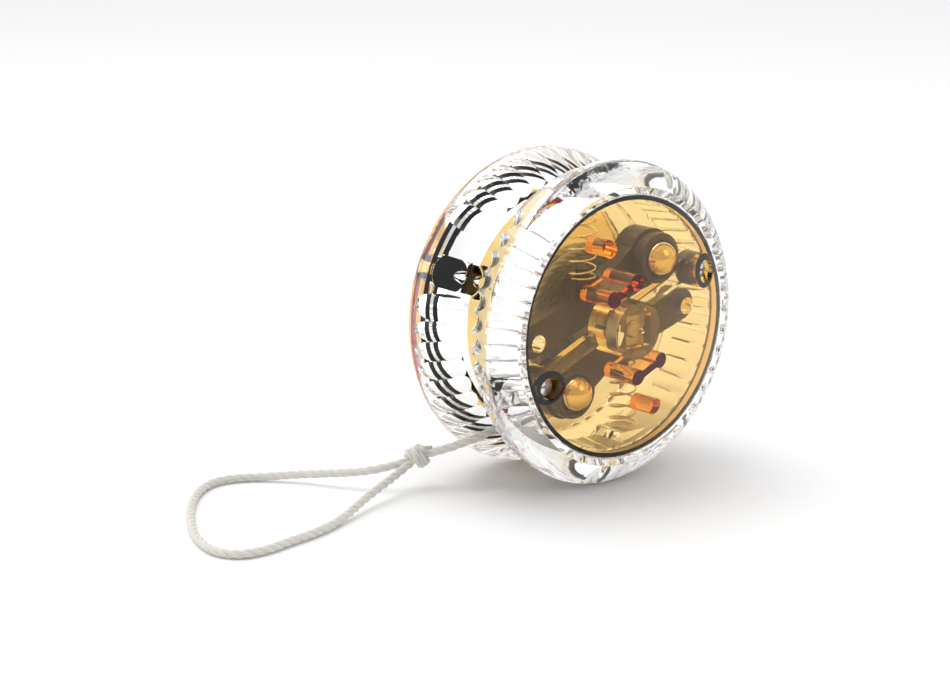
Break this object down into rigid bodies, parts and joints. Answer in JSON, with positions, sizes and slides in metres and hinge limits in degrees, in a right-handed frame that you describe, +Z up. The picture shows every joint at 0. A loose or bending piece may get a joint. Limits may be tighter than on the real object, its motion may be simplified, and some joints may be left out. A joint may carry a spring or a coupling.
{
  "type": "yo-yo",
  "caption": "Yo-yo with clear fluted halves, domed amber covers, a free spool held by a centrifugal ball clutch, and a wound string ending in a finger loop.",
  "frame": {"origin": "on the floor under the middle of the string gap, where the yo-yo stands on its rims", "axes": "+Z up, +Y along the axle from the clutch half towards the rear half, +X to the right seen from the clutch half"},
  "size_m": [0.104, 0.0505, 0.057],
  "materials": {
    "clear_plastic": "clear injection-moulded polycarbonate, polished",
    "amber_plastic": "transparent amber moulding, polished",
    "dark_plastic": "dark brown-black acetal, fine satin",
    "spool_plastic": "natural acetal, satin",
    "axle_steel": "turned and drawn steel",
    "screw_steel": "bright zinc-plated steel",
    "ball_steel": "polished bearing steel",
    "spring_steel": "spring wire, lightly brassy",
    "string": "off-white twisted cotton"
  },
  "bodies": {
    "halves": {"front_half_shell": "clear_plastic", "rear_half_shell": "clear_plastic", "front_cover": "amber_plastic", "rear_cover": "amber_plastic", "front_cover_screws": "screw_steel", "rear_cover_screws": "screw_steel", "axle": "axle_steel", "front_axle_nut": "axle_steel", "rear_axle_nut": "axle_steel", "clutch_bridge": "clear_plastic", "clutch_spring_upper": "spring_steel", "clutch_spring_lower": "spring_steel"},
    "string_spool": {"spool": "spool_plastic", "string_winding": "string", "string_lead": "string", "string_knot": "string", "finger_loop": "string"},
    "upper_arm": {"clutch_arm_upper": "dark_plastic", "weight_ball_upper": "ball_steel"},
    "lower_arm": {"clutch_arm_lower": "dark_plastic", "weight_ball_lower": "ball_steel"}
  },
  "joints": [
    {"name": "spool_spin", "type": "hinge", "parent": "halves", "child": "string_spool", "pos_m": [0, 0, 0.0285], "axis": [0, 1, 0], "continuous": true},
    {"name": "upper_arm_swing", "type": "hinge", "parent": "halves", "child": "upper_arm", "pos_m": [-0.01734, -0.0068, 0.02785], "axis": [0, -1, 0], "range_deg": [0, 6], "stiffness_Nm_per_rad": 0.01, "springref_deg": -34.38, "deforming": ["clutch_spring_upper"]},
    {"name": "lower_arm_swing", "type": "hinge", "parent": "halves", "child": "lower_arm", "pos_m": [0.01734, -0.0068, 0.02915], "axis": [0, -1, 0], "range_deg": [0, 6], "stiffness_Nm_per_rad": 0.01, "springref_deg": -34.38, "deforming": ["clutch_spring_lower"]}
  ]
}
